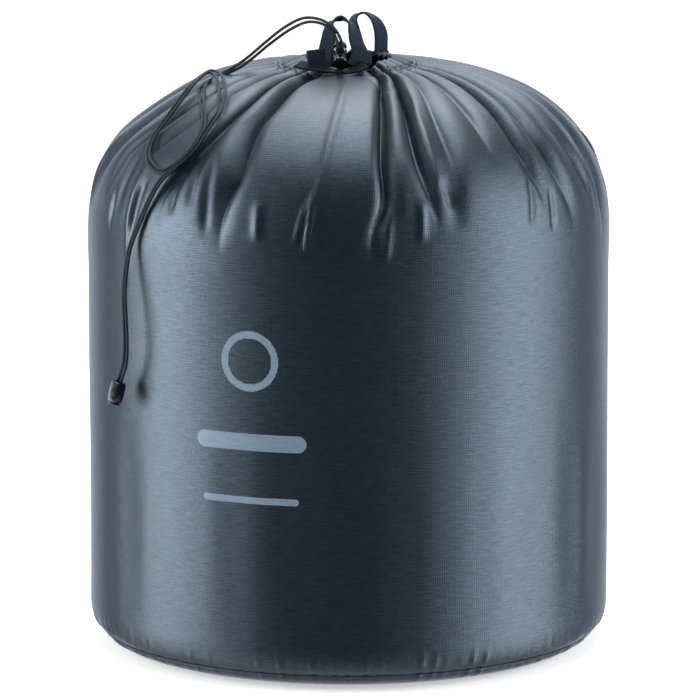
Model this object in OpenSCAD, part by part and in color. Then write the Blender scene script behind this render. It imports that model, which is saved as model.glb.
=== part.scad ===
// Drawstring pack sack, filled and standing: ripstop body with a gathered mouth,
// webbing loops, a spring cord lock and a doubled drawcord with a cord end.
// Units mm, +Z up, origin on the floor under the middle of the base, front faces -Y.

/* [Part] */
// Which sub-part to build, or all of them

/* [Sack] */
// Diameter of the filled body
body_d = 280; // [200:5:320]
// Height of the wall's straight part above the floor
wall_h = 210; // [120:5:260]
// Rise of the domed shoulder from the wall to the gathered neck
dome_h = 102; // [60:1:140]
// Fabric thickness as modelled, padded out so that the shell is solid
wall_t = 1; // [0.8:0.1:2]
// Height of the seam between the wall and the base panel
seam_h = 8; // [4:1:14]
// Radius of the gathered neck, at the hem's stitch line
neck_r = 39; // [30:1:50]
// Radius of the closed mouth, at the tips of the tucks
mouth_r = 22; // [16:1:28]
// Number of tucks that the drawn hem falls into
tucks = 26; // [16:1:36]

/* [Webbing] */
// Width of the webbing tape
tape_w = 10; // [8:1:15]
// Thickness of the webbing tape
tape_t = 1.2; // [0.8:0.1:2]

/* [Cord and lock] */
// Diameter of the drawcord
cord_d = 1.6; // [1.4:0.1:2.5]
// Angle of the lock's cord hole above the horizontal
lock_tilt = 50; // [30:1:60]
// Outer diameter of the lock's barrel
lock_d = 7; // [7:0.1:10]
// Travel of the lock's plunger
plunger_travel = 2; // [1:0.1:2.4]
// Width of the cord end across its corners
end_d = 9.4; // [8:0.1:12]
// Height of the cord end
end_h = 11; // [9:0.5:14]

/* [Hidden] */
$fn = 72;
body_r = body_d / 2;
neck_z = wall_h + dome_h;
dome_power = 2.7;
corner_power = 2.3;
corner_w = 28;
corner_h = 24;
gap = 0.3;
profile_steps = 14;

// Points of a rounded quarter, from angle a0 to a1, about the centre c
function round_quarter(c, w, h, power, a0, a1, steps) = [
  for (i = [0:steps])
    let (a = a0 + (a1 - a0) * i / steps)
    [c[0] + w * pow(max(0, cos(a)), 2 / power),
     c[1] + sign(sin(a)) * h * pow(abs(sin(a)), 2 / power)]
];
function dome_angle(r, rr) = acos(pow(r / rr, dome_power / 2));
function corner_angle(z, hh) = asin(pow((corner_h - z) / hh, corner_power / 2));
function reversed(v) = [for (i = [len(v) - 1:-1:0]) v[i]];

// The shoulder and wall's outline, drawn in by t
function wall_line(t) = concat(
  round_quarter([body_r - corner_w, corner_h], corner_w - t, corner_h - t,
    corner_power, -corner_angle(seam_h, corner_h - t), 0, profile_steps),
  round_quarter([0, wall_h], body_r - t, dome_h - t,
    dome_power, 0, dome_angle(neck_r, body_r - t), profile_steps * 2)
);
function base_line(t) = concat(
  [[0, t]],
  round_quarter([body_r - corner_w, corner_h], corner_w - t, corner_h - t,
    corner_power, -90, -corner_angle(seam_h, corner_h - t), profile_steps)
);

module shell(line_out, line_in) {
  rotate_extrude() polygon(concat(line_out, reversed(line_in)));
}

// A tape of width w swept along p, with its width laid along the directions d
module tape(p, d, w = tape_w, t = tape_t) {
  n = len(p);
  pts = [for (i = [0:n - 1])
    let (
      along = unit(p[min(i + 1, n - 1)] - p[max(i - 1, 0)]),
      side = unit(d[i] - (d[i] * along) * along),
      up = cross(along, side)
    )
    for (c = [[-1, -1], [1, -1], [1, 1], [-1, 1]])
      p[i] + side * c[0] * w / 2 + up * c[1] * t / 2];
  skin(pts, n, 4);
}
function unit(v) = v / norm(v);

// Closed skin over n rings of k points each
module skin(pts, n, k) {
  sides = [for (i = [0:n - 2], j = [0:k - 1])
    let (a = i * k + j, b = i * k + (j + 1) % k)
    each [[a, b, b + k], [a, b + k, a + k]]];
  ends = [[for (j = [k - 1:-1:0]) j], [for (j = [0:k - 1]) (n - 1) * k + j]];
  polyhedron(points = pts, faces = concat([for (f = sides) reversed(f)],
    [for (e = ends) reversed(e)]), convexity = 6);
}

// A round cord swept along p
module cord(p, d = cord_d, k = 8) {
  n = len(p);
  pts = [for (i = [0:n - 1])
    let (
      along = unit(p[min(i + 1, n - 1)] - p[max(i - 1, 0)]),
      side = unit(cross(along, unit(p[i] - sack_middle))),
      up = cross(along, side)
    )
    for (j = [0:k - 1])
      p[i] + (side * cos(j * 360 / k) + up * sin(j * 360 / k)) * d / 2];
  skin(pts, n, k);
}

// ---- where the doubled drawcord runs ----
sack_middle = [0, 0, 200];
// From the hem through the lock and over in an arc: x, y, z and half the gap of the pair
arc_route = [
  [-4.5, -24, 313.7, 0.9], [-4.5, -26, 316, 0.9], [-4.5, -31, 322, 0.9],
  [-4.5, -36, 328, 0.95], [-5, -37.5, 331.5, 1], [-7.5, -37, 336.4, 0.9],
  [-11.5, -35.5, 339.8, 0.85], [-17, -33, 341.6, 1], [-24, -29.5, 341, 1.3],
  [-33, -24.5, 335.8, 1.3], [-43, -19, 327.5, 1.1], [-52, -14, 319.2, 1],
  [-60, -11, 313.1, 0.9]
];
// Round the coil on the shoulder: degrees from the front, distance from the sack's axis,
// lift off the cloth, half gap
coil_route = [
  [83, 70.5, 2.2, 0.9], [80, 76, 1.8, 1.5], [72, 81, 1.6, 1.5], [63, 86.5, 1.6, 1.3],
  [54.5, 94, 1.6, 1.1], [48, 101.5, 1.6, 1], [44, 110.5, 1.6, 0.9], [43.5, 119.5, 1.6, 0.9],
  [45.5, 125, 1.6, 1], [48.5, 128, 1.6, 1.1], [53, 127, 1.6, 1.1], [57.5, 124, 1.6, 1.2],
  [60, 119, 1.6, 1.3], [61.5, 114, 1.6, 1.5], [64, 103, 2.4, 1.8], [66.5, 95, 4, 1.8],
  [69, 88, 6, 1.7], [75.5, 80, 6.5, 1.4], [80, 73.5, 6.5, 1.2], [71.5, 72, 5.5, 1.5],
  [60, 76.5, 5, 1.8], [51.5, 83.5, 5, 1.8], [45.5, 92, 5, 1.6], [42, 100, 5, 1.4],
  [41, 110.5, 5, 1.2], [41, 120, 5, 1], [44, 126.5, 5, 0.9]
];
// Down the wall, hanging clear of it to the cord end: degrees, height, lift, half gap
tail_route = [
  [47, 263.5, 4.5, 0.9], [49, 253.5, 4, 0.9], [50.8, 243, 3.5, 0.9], [52.7, 230, 4.5, 0.9],
  [53, 217, 6.5, 0.9], [52.6, 204, 8.5, 1], [51.8, 190, 9.5, 1.2], [51.6, 178, 9.5, 1.3],
  [52, 168, 9.5, 1.3], [53, 162, 9.5, 1.2], [54, 157, 9.5, 1.1]
];
function shoulder_z(r) = wall_h
  + dome_h * pow(1 - pow(r / body_r, dome_power), 1 / dome_power);
function shoulder_r(z) = z <= wall_h ? body_r
  : body_r * pow(1 - pow((z - wall_h) / dome_h, dome_power), 1 / dome_power);
function off_cloth(a, r, z, lift) =
  let (
    out = unit([
      pow(r / body_r, dome_power - 1) / body_r,
      z <= wall_h ? 0 : pow((z - wall_h) / dome_h, dome_power - 1) / dome_h
    ]),
    rr = r + out[0] * lift
  ) [-rr * sin(a), -rr * cos(a), z + out[1] * lift];
toward_viewer = [0, -1, 0];
// Each entry: middle of the pair, half its gap, direction that the pair lies square to
middle_line = concat(
  [for (q = arc_route) [[q[0], q[1], q[2]], q[3], toward_viewer]],
  [for (q = coil_route)
    let (p = off_cloth(q[0], q[1], shoulder_z(q[1]), q[2])) [p, q[3], p - sack_middle]],
  [for (q = tail_route)
    let (p = off_cloth(q[0], shoulder_r(q[1]), q[1], q[2])) [p, q[3], p - sack_middle]]
);
// One strand of the pair, on side s of the middle line
function strand(s) = [for (i = [0:len(middle_line) - 1])
  let (
    before = middle_line[max(i - 1, 0)][0],
    after = middle_line[min(i + 1, len(middle_line) - 1)][0],
    side = unit(cross(after - before, middle_line[i][2]))
  ) middle_line[i][0] + side * s * middle_line[i][1]];
end_top = middle_line[len(middle_line) - 1][0];

// ---- sack ----
module side_panel() {
  color([0.2, 0.24, 0.3]) shell(wall_line(0), wall_line(wall_t));
}

module base_panel() {
  color([0.17, 0.2, 0.25]) shell(base_line(0), base_line(wall_t));
}

// Seam allowance of the base, turned to the inside
module base_seam() {
  seam_r = body_r - corner_w + corner_w * pow(1 - pow((corner_h - seam_h) / corner_h,
    corner_power), 1 / corner_power) - wall_t - gap;
  color([0.1, 0.11, 0.13]) rotate_extrude()
    polygon([[seam_r - 7, 8.2], [seam_r - 0.6, 7.6], [seam_r, 8.8], [seam_r - 7, 9.6]]);
}

// Lapped seam up the back of the side panel
module side_seam() {
  line_out = wall_line(-0.9);
  line_in = wall_line(-0.05);
  color([0.16, 0.19, 0.24]) rotate([0, 0, 88])
    rotate_extrude(angle = 4) polygon(concat(
      [for (q = line_out) if (q[0] > 60) q],
      reversed([for (q = line_in) if (q[0] > 60) q])));
}

hem_out = neck_r + 1.5;
hem_out_z = neck_z - 0.9;
hem_in_z = neck_z + 3;
hem_t = 3;
hem_slope = atan((hem_in_z - hem_out_z) / (hem_out - mouth_r));
drawcord_r = mouth_r + 3.2;
drawcord_z = hem_in_z + hem_t / 2 - 3.2 * tan(hem_slope);

// Hem turned over the drawcord and pulled into tucks
module hem_channel() {
  tuck_r = 1.5;
  color([0.24, 0.28, 0.35]) difference() {
    rotate_extrude() polygon([[hem_out, hem_out_z], [mouth_r, hem_in_z],
      [mouth_r - 0.6, hem_in_z + hem_t / 2], [mouth_r, hem_in_z + hem_t],
      [hem_out, hem_out_z + hem_t]]);
    rotate_extrude() polygon([[drawcord_r - 1.4, drawcord_z - 0.6],
      [drawcord_r + 1.4, drawcord_z - 1.3], [drawcord_r + 1.4, drawcord_z + 0.6],
      [drawcord_r - 1.4, drawcord_z + 1.3]]);
    for (i = [0:tucks - 1]) rotate([0, 0, (i + 0.5) * 360 / tucks])
      translate([mouth_r - 3, 0, hem_in_z + hem_t + 0.4 + 3 * tan(hem_slope)])
        rotate([0, 90 + hem_slope, 0]) cylinder(r = tuck_r, h = 26, $fn = 24);
    translate([-7.5, -mouth_r - 6.8, drawcord_z - 4]) cube([6, 6, 10]);
  }
}

// Double row of stitches that closes the hem, one pair of bars to each tuck
module hem_stitching() {
  color([0.55, 0.58, 0.62]) for (i = [0:tucks - 1], r = [neck_r - 1.2, neck_r - 3.2])
    rotate([0, 0, i * 360 / tucks])
      translate([r, 0, hem_out_z + hem_t + (hem_out - r) * tan(hem_slope) + 0.2])
        rotate([0, hem_slope, 0]) cube([0.6, 2.6, 0.3], center = true);
}

// The part of the drawcord that runs round inside the hem
module drawcord_in_hem() {
  color([0.3, 0.33, 0.36]) translate([0, 0, drawcord_z])
    rotate([0, 0, -80]) rotate_extrude(angle = 314) translate([drawcord_r, 0])
      circle(d = cord_d, $fn = 24);
}

// ---- webbing at the mouth ----
module front_band() {
  color([0.06, 0.07, 0.08]) tape(
    [[-27, -29, 317.6], [-20, -34, 316.6], [-12, -36.5, 315.6], [-4, -37.5, 314.6],
     [3, -37, 315.8], [9, -33, 318]],
    [[0.3, 1, 0.35], [0.2, 1, 0.3], [0.1, 1, 0.2], [0, 1, 0.12], [-0.2, 1, 0.3],
     [-0.4, 1, 0.5]], 7.5, 1);
}

module tab_left() {
  color([0.1, 0.11, 0.13]) tape(
    [[-17, -29.5, 318.6], [-17.4, -28.6, 322], [-18, -28, 326]],
    [[1, 0.15, 0.05], [1, 0.15, 0.12], [1, 0.1, 0.2]]);
}

module tab_right() {
  color([0.1, 0.11, 0.13]) tape(
    [[4.4, -29.4, 319.2], [6.2, -28.2, 322.6], [8.4, -27, 325.6]],
    [[1, 0.3, -0.35], [1, 0.3, -0.4], [1, 0.3, -0.5]]);
}

front_root_l = [-12.6, -21.5, 319.2];
front_root_r = [8, -21.5, 319.2];
back_root_l = [5, 21.5, 319.2];
back_root_r = [17.5, 20.5, 319.2];

// Sewn roots of the two webbing loops, between the tucks
module loop_root(p, w) {
  translate([p[0], p[1], p[2] - 2.5]) cube([w, 3, 1.6], center = true);
}
module loop_roots() {
  color([0.05, 0.05, 0.06]) {
    loop_root(front_root_l, 8.5);
    loop_root(front_root_r, 8.5);
    loop_root(back_root_l, 8.5);
    loop_root(back_root_r, 8.5);
  }
}

module grab_loop_front() {
  color([0.08, 0.09, 0.1]) tape(
    [front_root_l, [-12, -21, 323], [-10.8, -20.5, 329], [-10, -20, 334],
     [-8.4, -20, 338.6], [-4, -20, 340.8], [0.2, -20, 338.4], [2.4, -20, 334],
     [3.8, -20.5, 329], [6, -21, 323.5], front_root_r],
    [[-0.8, 0.6, 0], [-0.8, 0.6, 0], [-0.75, 0.65, 0], [-0.6, 0.75, 0],
     [-0.3, 0.9, -0.3], [0.1, 0.9, -0.35], [0.3, 0.85, -0.35], [0.5, 0.8, -0.3],
     [0.65, 0.75, -0.1], [0.75, 0.65, 0], [0.8, 0.6, 0]]);
}

module grab_loop_back() {
  color([0.08, 0.09, 0.1]) tape(
    [back_root_l, [4.2, 21.5, 323], [3, 21, 329], [3, 20.5, 333.5],
     [5, 20, 337], [8.5, 20, 338.2], [12.4, 20, 336], [15.6, 20, 332],
     [17.4, 20, 326.5], back_root_r],
    [[-0.7, 0.7, 0], [-0.7, 0.7, 0], [-0.6, 0.8, 0], [-0.4, 0.9, 0],
     [-0.1, 1, -0.15], [0.1, 1, -0.15], [0.3, 0.95, -0.1], [0.5, 0.85, 0],
     [0.65, 0.75, 0], [0.67, 0.74, 0]]);
}

// ---- cord lock: its own z axis is the plunger's axis, its y axis lies along the hole ----
lock_pos = [-4.5, -32.4, 323.6];
hole_low = -3.2;
hole_high = 1.1;
hole_w = 4.2;
stem_d = 4.8;
stem_bore_d = 5;
barrel_low = -7;
barrel_high = 2.3;
spring_low = barrel_low + 1;
spring_high = -2.4;
module on_lock() {
  translate(lock_pos) rotate([-lock_tilt, 0, 0]) children();
}

module lock_barrel() {
  color([0.03, 0.03, 0.04]) on_lock() difference() {
    union() {
      translate([0, 0, barrel_low]) cylinder(d = lock_d, h = barrel_high - barrel_low);
      translate([0, 0, barrel_low]) cylinder(d = lock_d + 0.8, h = 1.2);
      translate([0, 0, barrel_high - 1]) cylinder(d = lock_d + 0.6, h = 1);
    }
    translate([0, 0, spring_low]) cylinder(d = stem_bore_d, h = 20);
    translate([-hole_w / 2, -10, hole_low]) cube([hole_w, 20, hole_high - hole_low]);
  }
}

module lock_plunger() {
  color([0.05, 0.05, 0.06]) on_lock() difference() {
    union() {
      translate([0, 0, spring_high]) cylinder(d = stem_d, h = 7);
      translate([0, 0, 4.5]) cylinder(d = lock_d + 0.2, h = 1.4);
      translate([0, 0, 5.9]) cylinder(d1 = lock_d + 0.2, d2 = lock_d - 1, h = 0.6);
    }
    translate([-hole_w / 2 + 0.2, -10, -1.1]) cube([hole_w - 0.4, 20, hole_high - hole_low]);
  }
}

module lock_spring() {
  turns = 2.5;
  wire = 0.4;
  coil_r = stem_d / 2 - 0.6;
  rise = spring_high - spring_low - wire - 0.12;
  rings = turns * 14;
  pts = [for (i = [0:rings])
    let (
      a = i * 360 * turns / rings,
      c = [coil_r * cos(a), coil_r * sin(a), spring_low + wire / 2 + 0.06 + rise * i / rings]
    )
    for (j = [0:5])
      c + [cos(a) * cos(j * 60), sin(a) * cos(j * 60), sin(j * 60)] * wire / 2];
  color([0.7, 0.7, 0.72]) on_lock() skin(pts, rings + 1, 6);
}

// ---- cord end: a six-sided barrel with a plug that snaps in from below ----
end_lean = 14;
pair_turn = -52;
module on_end() {
  translate(end_top) rotate([0, end_lean, 0]) translate([0, 0, -end_h]) children();
}
module six_sided(d, h) {
  rotate([0, 0, -90]) cylinder(d = d, h = h, $fn = 6);
}

module end_barrel() {
  color([0.03, 0.03, 0.04]) on_end() difference() {
    intersection() {
      six_sided(end_d, end_h);
      translate([0, 0, end_h / 2]) sphere(r = 6.7);
    }
    translate([0, 0, -1]) cylinder(d = 6.2, h = end_h - 1);
    translate([0, 0, end_h - 3]) cylinder(d = 4.6, h = 5);
  }
}

module end_plug() {
  color([0.06, 0.06, 0.07]) on_end() {
    translate([0, 0, -1.3]) six_sided(7.2, 0.9);
    translate([0, 0, -0.45]) cylinder(d = 6.08, h = 2.4);
  }
}

// Overhand knot that ties the two cords together inside the barrel
module cord_knot() {
  color([0.3, 0.33, 0.36]) on_end() {
    translate([0, 0, 5.2]) sphere(r = 2.5);
    rotate([0, 0, pair_turn]) for (x = [-1.1, 1.1])
      translate([x, 0, 5.2]) cylinder(d = cord_d, h = end_h - 5.2);
  }
}

module cord_left() {
  color([0.3, 0.33, 0.36]) cord(strand(1));
}

module cord_right() {
  color([0.26, 0.29, 0.32]) cord(strand(-1));
}

side_panel();
base_panel();
base_seam();
side_seam();
hem_channel();
hem_stitching();
drawcord_in_hem();
front_band();
tab_left();
tab_right();
loop_roots();
grab_loop_front();
grab_loop_back();
lock_barrel();
lock_plunger();
lock_spring();
cord_left();
cord_right();
end_barrel();
end_plug();
cord_knot();
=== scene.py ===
import math

import bmesh
import bpy
import numpy as np
from mathutils import Matrix, Vector
from mathutils.bvhtree import BVHTree


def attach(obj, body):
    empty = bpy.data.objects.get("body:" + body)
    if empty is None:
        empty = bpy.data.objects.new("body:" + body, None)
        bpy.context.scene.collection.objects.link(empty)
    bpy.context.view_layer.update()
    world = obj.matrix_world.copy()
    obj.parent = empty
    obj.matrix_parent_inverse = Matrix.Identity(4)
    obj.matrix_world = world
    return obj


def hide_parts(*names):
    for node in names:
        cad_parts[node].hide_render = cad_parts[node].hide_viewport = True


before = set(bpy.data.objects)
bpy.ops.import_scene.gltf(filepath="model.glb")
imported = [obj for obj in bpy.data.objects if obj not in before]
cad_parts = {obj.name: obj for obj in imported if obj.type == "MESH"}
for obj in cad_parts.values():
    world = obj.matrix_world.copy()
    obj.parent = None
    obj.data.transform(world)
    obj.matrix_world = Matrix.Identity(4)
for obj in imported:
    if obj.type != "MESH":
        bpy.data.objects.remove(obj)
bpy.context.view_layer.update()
MM = 0.001

# ---- the sack's shape, mm
BODY_R = 140.0
WALL_H = 210.0
DOME_H = 102.0
DOME_POWER = 2.7
CORNER_POWER = 2.3
CORNER_W = 28.0
CORNER_H = 24.0
SEAM_H = 8.0
NECK_R = 39.0
SACK_MIDDLE = np.array([0.0, 0.0, 200.0])


def shoulder_z(r):
    return WALL_H + DOME_H * (1 - (r / BODY_R) ** DOME_POWER) ** (1 / DOME_POWER)


def shoulder_r(z):
    if z <= WALL_H:
        return BODY_R
    return BODY_R * (1 - ((z - WALL_H) / DOME_H) ** DOME_POWER) ** (1 / DOME_POWER)


def unit(v):
    v = np.asarray(v, float)
    return v / np.linalg.norm(v)


def smooth(a, b, x):
    t = np.clip((np.asarray(x, float) - a) / (b - a), 0, 1)
    return t * t * (3 - 2 * t)


# ---- helpers
def new_mesh(name, verts_mm, faces, uv=None):
    """A mesh object from points in mm; uv is one (u, v) per face corner."""
    me = bpy.data.meshes.new(name)
    me.from_pydata([tuple(float(c) * MM for c in v) for v in verts_mm], [], faces)
    if uv is not None:
        layer = me.uv_layers.new(name="UVMap")
        layer.data.foreach_set("uv", np.asarray(uv, float).ravel())
    me.polygons.foreach_set("use_smooth", [True] * len(me.polygons))
    me.update()
    ob = bpy.data.objects.new(name, me)
    bpy.context.scene.collection.objects.link(ob)
    return ob


def grid_faces(rows, cols, wrap):
    """Faces of a grid stored row by row, wrapped round its columns if asked."""
    out = []
    last = cols if wrap else cols - 1
    for i in range(rows - 1):
        for j in range(last):
            k = (j + 1) % cols
            out.append((i * cols + j, i * cols + k, (i + 1) * cols + k, (i + 1) * cols + j))
    return out


def end_faces(rows, cols):
    """The two faces that close a wrapped grid's first and last row."""
    return [tuple(range(cols - 1, -1, -1)), tuple((rows - 1) * cols + k for k in range(cols))]


def grid_uv(us, vs):
    """Face-corner UVs for grid_faces; us has one more entry than the columns if wrapped."""
    out = []
    for i in range(len(vs) - 1):
        for j in range(len(us) - 1):
            out += [(us[j], vs[i]), (us[j + 1], vs[i]), (us[j + 1], vs[i + 1]), (us[j], vs[i + 1])]
    return out


def catmull(points, step):
    """A smooth line through the points, as points about step apart."""
    p = np.asarray(points, float)
    ext = np.vstack([2 * p[0] - p[1], p, 2 * p[-1] - p[-2]])
    out = []
    for i in range(len(p) - 1):
        a, b, c, d = ext[i : i + 4]
        n = max(2, int(np.linalg.norm(c[:3] - b[:3]) / step))
        for k in range(n):
            t = k / n
            bend = (2 * a - 5 * b + 4 * c - d) * t**2 + (3 * b - a - 3 * c + d) * t**3
            out.append(0.5 * (2 * b + (c - a) * t + bend))
    out.append(p[-1])
    return np.array(out)


def tangents(p):
    t = np.gradient(p, axis=0)
    return t / np.linalg.norm(t, axis=1)[:, None]


def tube(name, path, radius, sides=12):
    """A closed round tube along the path (mm), with UVs in mm: round it, and along it."""
    t = tangents(path)
    rings, vs, run = [], [], 0.0
    side = unit(np.cross(t[0], [0.0, -1.0, 0.3]))
    for i, p in enumerate(path):
        side = unit(side - t[i] * np.dot(side, t[i]))
        other = np.cross(t[i], side)
        if i:
            run += np.linalg.norm(path[i] - path[i - 1])
        rings.append([p + (side * math.cos(a) + other * math.sin(a)) * radius for a in
                      (2 * math.pi * k / sides for k in range(sides))])
        vs.append(run)
    verts = [q for ring in rings for q in ring]
    n = len(path)
    faces = grid_faces(n, sides, True) + end_faces(n, sides)
    uv = grid_uv([k / sides for k in range(sides + 1)], vs)
    uv += [(0, 0)] * sides + [(0, vs[-1])] * sides
    return new_mesh(name, verts, faces, uv)


# ---- materials
def material(name, base, rough, metallic=0.0, specular=0.5, coat=0.0):
    m = bpy.data.materials.new(name)
    m.use_nodes = True
    b = m.node_tree.nodes["Principled BSDF"]
    b.inputs["Base Color"].default_value = (*base, 1)
    b.inputs["Roughness"].default_value = rough
    b.inputs["Metallic"].default_value = metallic
    b.inputs["Specular IOR Level"].default_value = specular
    b.inputs["Coat Weight"].default_value = coat
    return m


def node(m, kind, **values):
    n = m.node_tree.nodes.new(kind)
    for k, v in values.items():
        if k in n.inputs:
            n.inputs[k].default_value = v
        else:
            setattr(n, k, v)
    return n


def shader(m):
    return m.node_tree.nodes["Principled BSDF"]


def link(m, a, b):
    m.node_tree.links.new(a, b)


def math_node(m, op, a, b=None, c=None):
    n = node(m, "ShaderNodeMath", operation=op)
    for i, x in enumerate((a, b, c)):
        if x is None:
            continue
        if isinstance(x, (int, float)):
            n.inputs[i].default_value = x
        else:
            link(m, x, n.inputs[i])
    return n.outputs[0]


def uv_axes(m):
    tc = node(m, "ShaderNodeTexCoord")
    sep = node(m, "ShaderNodeSeparateXYZ")
    link(m, tc.outputs["UV"], sep.inputs[0])
    return tc.outputs["UV"], sep.outputs["X"], sep.outputs["Y"]


def remap(m, value, lo, hi, to_lo, to_hi):
    n = node(m, "ShaderNodeMapRange")
    link(m, value, n.inputs["Value"])
    for socket, x in (("From Min", lo), ("From Max", hi), ("To Min", to_lo), ("To Max", to_hi)):
        n.inputs[socket].default_value = x
    return n.outputs[0]


def soft_step(m, value, lo, hi):
    """0 below lo, 1 above hi, smooth between."""
    n = node(m, "ShaderNodeMapRange", interpolation_type="SMOOTHSTEP")
    link(m, value, n.inputs["Value"])
    n.inputs["From Min"].default_value = lo
    n.inputs["From Max"].default_value = hi
    return n.outputs["Result"]


def tint_by(m, base, scale):
    """Base colour times a varying scale."""
    mix = node(m, "ShaderNodeVectorMath", operation="SCALE")
    mix.inputs[0].default_value = base
    link(m, scale, mix.inputs["Scale"])
    link(m, mix.outputs[0], shader(m).inputs["Base Color"])


def relief(m, height, strength, distance):
    bump = node(m, "ShaderNodeBump", Strength=strength, Distance=distance)
    link(m, height, bump.inputs["Height"])
    link(m, bump.outputs[0], shader(m).inputs["Normal"])


def noise(m, coord, scale, detail, roughness=0.5):
    n = node(m, "ShaderNodeTexNoise", Scale=scale, Detail=detail, Roughness=roughness)
    link(m, coord, n.inputs["Vector"])
    return n.outputs["Fac"]


def stretched(m, uv, along_u, along_v):
    n = node(m, "ShaderNodeMapping")
    n.inputs["Scale"].default_value = (along_u, along_v, 1)
    link(m, uv, n.inputs["Vector"])
    return n.outputs[0]


def wave(m, coord, pitch):
    return math_node(m, "SINE", math_node(m, "MULTIPLY", coord, 2 * math.pi / pitch))


def line_mask(m, coord, pitch, width):
    """1 on thin lines of the given width every pitch, else 0, softened at the edges."""
    f = math_node(m, "FRACT", math_node(m, "DIVIDE", coord, pitch))
    d = math_node(m, "ABSOLUTE", math_node(m, "SUBTRACT", f, 0.5))
    return soft_step(m, d, 0.5 - 1.6 * width / pitch, 0.5 - 0.4 * width / pitch)


def ripstop(name, base, rough, grid=1.25, grid_gain=0.5):
    """Coated nylon with a fine reinforcing grid, in fabric coordinates (UV in mm)."""
    m = material(name, base, rough, specular=0.9)
    b = shader(m)
    b.inputs["Specular Tint"].default_value = (0.62, 0.80, 1.0, 1)
    uv, u, v = uv_axes(m)
    lines = math_node(m, "MAXIMUM", line_mask(m, u, grid, 0.28), line_mask(m, v, grid, 0.28))
    weave = math_node(m, "MULTIPLY", wave(m, u, 0.3), wave(m, v, 0.3))
    # uneven yarns: streaks along the weft and the warp
    weft = noise(m, stretched(m, uv, 0.12, 1.5), 1.0, 5.0, 0.65)
    warp = noise(m, stretched(m, uv, 1.7, 0.25), 1.0, 4.0, 0.6)
    blotch = noise(m, uv, 0.02, 3.0)
    yarn = math_node(m, "MULTIPLY_ADD", weft, 1.3, math_node(m, "MULTIPLY", warp, 0.7))
    # colour: the grid's yarns are a touch lighter, the rest varies a little
    tone = math_node(m, "MULTIPLY_ADD", yarn, 0.5, math_node(m, "MULTIPLY", blotch, 0.3))
    tint_by(m, base, remap(m, math_node(m, "MULTIPLY_ADD", lines, grid_gain, tone), 0.3, 1.2, 0.75, 1.5))
    link(m, remap(m, yarn, 0.6, 1.4, rough - 0.06, rough + 0.07), b.inputs["Roughness"])
    # the gloss follows the yarns and drops in the grid's furrows
    gloss = math_node(m, "MULTIPLY_ADD", lines, -0.35, yarn)
    link(m, remap(m, gloss, 0.55, 1.35, 0.58, 1.6), b.inputs["Specular IOR Level"])
    h = math_node(m, "MULTIPLY_ADD", yarn, 1.0, math_node(m, "MULTIPLY", weave, 0.12))
    h = math_node(m, "MULTIPLY_ADD", noise(m, uv, 1.6, 6.0, 0.7), 0.9, h)
    h = math_node(m, "MULTIPLY_ADD", lines, 0.5, h)
    relief(m, h, 0.5, 0.00016)
    return m


def twill(name, base, rough, specular):
    """Narrow webbing: fine diagonal ribs in tape coordinates (UV in mm)."""
    m = material(name, base, rough, specular=specular)
    shader(m).inputs["Specular Tint"].default_value = (0.66, 0.82, 1.0, 1)
    uv, u, v = uv_axes(m)
    ribs = wave(m, math_node(m, "ADD", math_node(m, "MULTIPLY", u, 1.1), v), 1.7)
    h = math_node(m, "MULTIPLY_ADD", wave(m, u, 1.1), 0.3, ribs)
    h = math_node(m, "MULTIPLY_ADD", noise(m, uv, 1.4, 4.0), 0.9, h)
    tint_by(m, base, remap(m, h, -1.0, 2.0, 0.0, 4.6))
    relief(m, h, 0.8, 0.00018)
    return m


def braid(name, base, rough, pitch=2.2):
    """Braided sheath: two families of diagonal yarns round the cord."""
    m = material(name, base, rough, specular=0.35)
    shader(m).inputs["Specular Tint"].default_value = (0.66, 0.82, 1.0, 1)
    _, u, v = uv_axes(m)
    around = math_node(m, "MULTIPLY", u, 4.0)
    along = math_node(m, "DIVIDE", v, pitch)
    one_way = wave(m, math_node(m, "ADD", around, along), 1.0)
    other_way = wave(m, math_node(m, "SUBTRACT", around, along), 1.0)
    h = math_node(m, "MAXIMUM", one_way, other_way)
    tint_by(m, base, remap(m, h, -0.6, 1.0, 0.45, 1.5))
    relief(m, h, 0.9, 0.0002)
    return m


def plastic(name, base, rough):
    """Moulded plastic with a faint orange-peel and small handling marks."""
    m = material(name, base, rough, specular=0.6, coat=0.3)
    shader(m).inputs["Coat Roughness"].default_value = 0.12
    at = node(m, "ShaderNodeTexCoord").outputs["Object"]
    marks = noise(m, at, 350.0, 6.0, 0.7)
    link(m, remap(m, marks, 0.35, 0.7, rough, rough + 0.2), shader(m).inputs["Roughness"])
    relief(m, noise(m, at, 900.0, 2.0), 0.15, 0.00005)
    return m


M_CLOTH = ripstop("ripstop_cloth", (0.0030, 0.0072, 0.0115), 0.31)
M_BASE = ripstop("base_cloth", (0.003, 0.0066, 0.010), 0.32)
M_TAPE = twill("webbing_twill", (0.0052, 0.0092, 0.0140), 0.5, 0.14)
# the front band's webbing is near black, far darker than the other webbing: partly its own black, partly
# painted shade standing in for the shadowed mouth under the cord lock
M_BAND_PAINTED_SHADE = twill("band_twill_painted_shade", (0.0006, 0.0008, 0.0011), 0.45, 0.1)
M_CORD = braid("cord_braid", (0.0042, 0.0072, 0.0108), 0.4)
M_THREAD = braid("thread_twist", (0.10, 0.125, 0.155), 0.5, pitch=0.8)
M_LOCK = plastic("lock_black", (0.003, 0.004, 0.006), 0.1)
M_END = plastic("end_black", (0.003, 0.004, 0.006), 0.18)
M_STEEL = material("spring_wire", (0.55, 0.55, 0.57), 0.3, metallic=1.0)
M_PRINT = ripstop("print_ink", (0.085, 0.118, 0.152), 0.5, grid_gain=0.12)


def finish_piece(ob, mat, body, slot, *cad_nodes):
    ob.data.materials.clear()
    ob.data.materials.append(mat)
    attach(ob, body)
    if cad_nodes:
        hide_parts(*cad_nodes)
    return ob


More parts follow.
